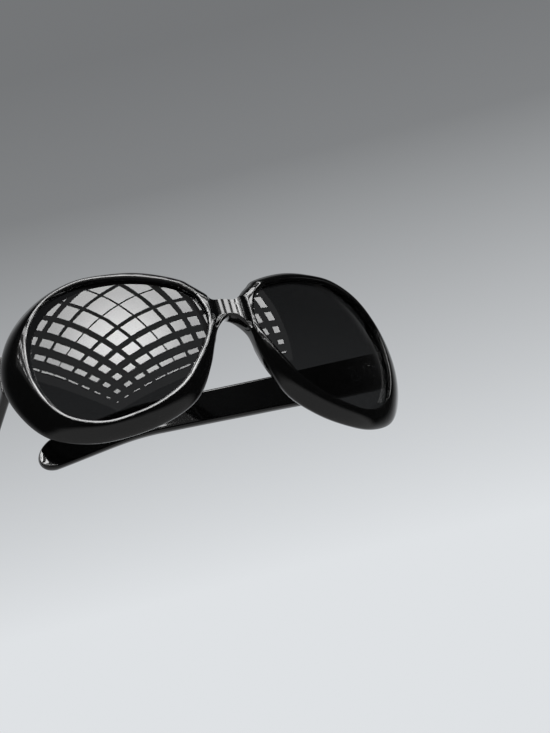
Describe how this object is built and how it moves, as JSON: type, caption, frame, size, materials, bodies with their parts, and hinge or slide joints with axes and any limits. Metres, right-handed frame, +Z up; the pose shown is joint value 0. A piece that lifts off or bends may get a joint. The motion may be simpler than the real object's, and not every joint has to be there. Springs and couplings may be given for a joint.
{
  "type": "oversized sunglasses",
  "caption": "Oversized sunglasses: thick glossy rounded front, dark tinted lenses, broad folding temples with an ear bend.",
  "frame": {"origin": "on the surface that the pair stands on, under the centre of its bounding box", "axes": "+X to the wearer's left, -Y the way the front faces, +Z up; the front stands upright"},
  "size_m": [0.153, 0.1714, 0.0641],
  "materials": {
    "black_gloss_plastic": "polished black acetate",
    "tinted_lens": "neutral dark grey tint, polished",
    "pad_plastic": "polished black acetate",
    "hinge_steel": "nickel-plated steel",
    "screw_steel": "polished screw heads",
    "core_steel": "plain wire"
  },
  "bodies": {
    "front": {"front_frame": "black_gloss_plastic", "right_lens": "tinted_lens", "left_lens": "tinted_lens", "right_nose_pad": "pad_plastic", "left_nose_pad": "pad_plastic", "right_front_hinge": "hinge_steel", "left_front_hinge": "hinge_steel", "right_front_leaf_screws": "screw_steel", "left_front_leaf_screws": "screw_steel", "right_hinge_screw": "screw_steel", "left_hinge_screw": "screw_steel"},
    "left_temple": {"left_temple": "black_gloss_plastic", "left_temple_hinge": "hinge_steel", "left_temple_leaf_screws": "screw_steel", "left_core_wire": "core_steel"},
    "right_temple": {"right_temple": "black_gloss_plastic", "right_temple_hinge": "hinge_steel", "right_temple_leaf_screws": "screw_steel", "right_core_wire": "core_steel"}
  },
  "joints": [
    {"name": "left_temple_unfold", "type": "hinge", "parent": "front", "child": "left_temple", "pos_m": [0.07109, -0.05325, 0.03542], "axis": [0, 0, -1], "range_deg": [0, 91]},
    {"name": "right_temple_fold", "type": "hinge", "parent": "front", "child": "right_temple", "pos_m": [-0.07109, -0.05325, 0.03542], "axis": [0, 0, -1], "range_deg": [0, 85.5]}
  ]
}
